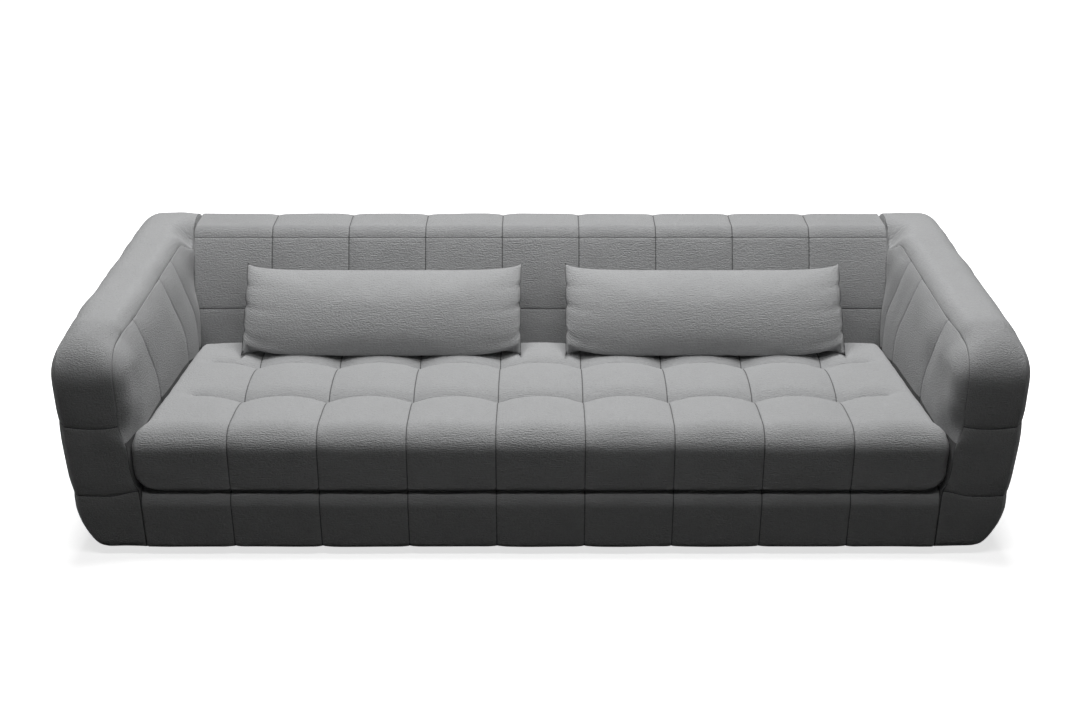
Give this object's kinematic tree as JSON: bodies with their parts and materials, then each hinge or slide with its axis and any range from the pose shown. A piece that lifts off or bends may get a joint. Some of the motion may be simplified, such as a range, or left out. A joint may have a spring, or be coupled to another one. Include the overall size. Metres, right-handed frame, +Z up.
{
  "type": "four-seater sofa",
  "caption": "Long low four-seater sofa in grey woven fabric: tufted loose bench cushion, panelled back, broad rounded arms and two loose lumbar pillows.",
  "frame": {"origin": "on the floor, under the middle of the sofa's box", "axes": "+X to the right of someone facing the sofa, +Y to its rear, +Z up; the seat opens towards -Y"},
  "size_m": [2.57, 1.04, 0.655],
  "materials": {
    "upholstery": "matte",
    "foam": "matte",
    "pillow_filling": "matte",
    "timber": "matte",
    "plywood": "matte",
    "hardboard": "matte",
    "webbing": "matte",
    "felt": "matte",
    "lining": "matte",
    "glide_plastic": "matte",
    "steel": "satin"
  },
  "bodies": {
    "sofa_frame": {"arm_bolts": "steel", "back_cover": "upholstery", "back_foam": "foam", "back_lower_rail": "timber", "back_middle_ribs": "plywood", "back_rear_panel": "hardboard", "back_rear_rail": "timber", "back_sole_rail": "timber", "back_top_rail": "timber", "back_webbing": "webbing", "base_centre_beam": "timber", "base_corner_blocks": "timber", "base_cover": "upholstery", "base_cross_boards": "timber", "base_foam": "foam", "base_front_rail": "timber", "base_left_rail": "timber", "base_rear_rail": "timber", "base_right_rail": "timber", "centre_feet": "glide_plastic", "deck_cloth": "lining", "deck_felt": "felt", "dust_cover": "lining", "left_arm_cover": "upholstery", "left_arm_foam": "foam", "left_arm_front_post": "timber", "left_arm_inner_plate": "plywood", "left_arm_outer_plate": "plywood", "left_arm_rear_post": "timber", "left_arm_sill": "timber", "left_arm_top_rail": "timber", "left_back_rib": "plywood", "left_feet": "glide_plastic", "right_arm_cover": "upholstery", "right_arm_foam": "foam", "right_arm_front_post": "timber", "right_arm_inner_plate": "plywood", "right_arm_outer_plate": "plywood", "right_arm_rear_post": "timber", "right_arm_sill": "timber", "right_arm_top_rail": "timber", "right_back_rib": "plywood", "right_feet": "glide_plastic", "seat_cross_webbing": "webbing", "seat_long_webbing": "webbing"},
    "seat_cushion": {"seat_cover": "upholstery", "seat_foam": "foam", "seat_tuft_patches": "felt", "seat_tuft_tapes": "webbing", "seat_underside_cloth": "lining"},
    "left_pillow": {"left_pillow_back_panel": "upholstery", "left_pillow_filling": "pillow_filling", "left_pillow_front_panel": "upholstery"},
    "right_pillow": {"right_pillow_back_panel": "upholstery", "right_pillow_filling": "pillow_filling", "right_pillow_front_panel": "upholstery"}
  },
  "joints": [
    {"name": "seat_lift", "type": "slide", "parent": "sofa_frame", "child": "seat_cushion", "axis": [0, 0, 1], "range_m": [0, 0.45]},
    {"name": "left_pillow_lift", "type": "slide", "parent": "seat_cushion", "child": "left_pillow", "axis": [0, 0, 1], "range_m": [0, 0.4]},
    {"name": "right_pillow_lift", "type": "slide", "parent": "seat_cushion", "child": "right_pillow", "axis": [0, 0, 1], "range_m": [0, 0.4]}
  ]
}
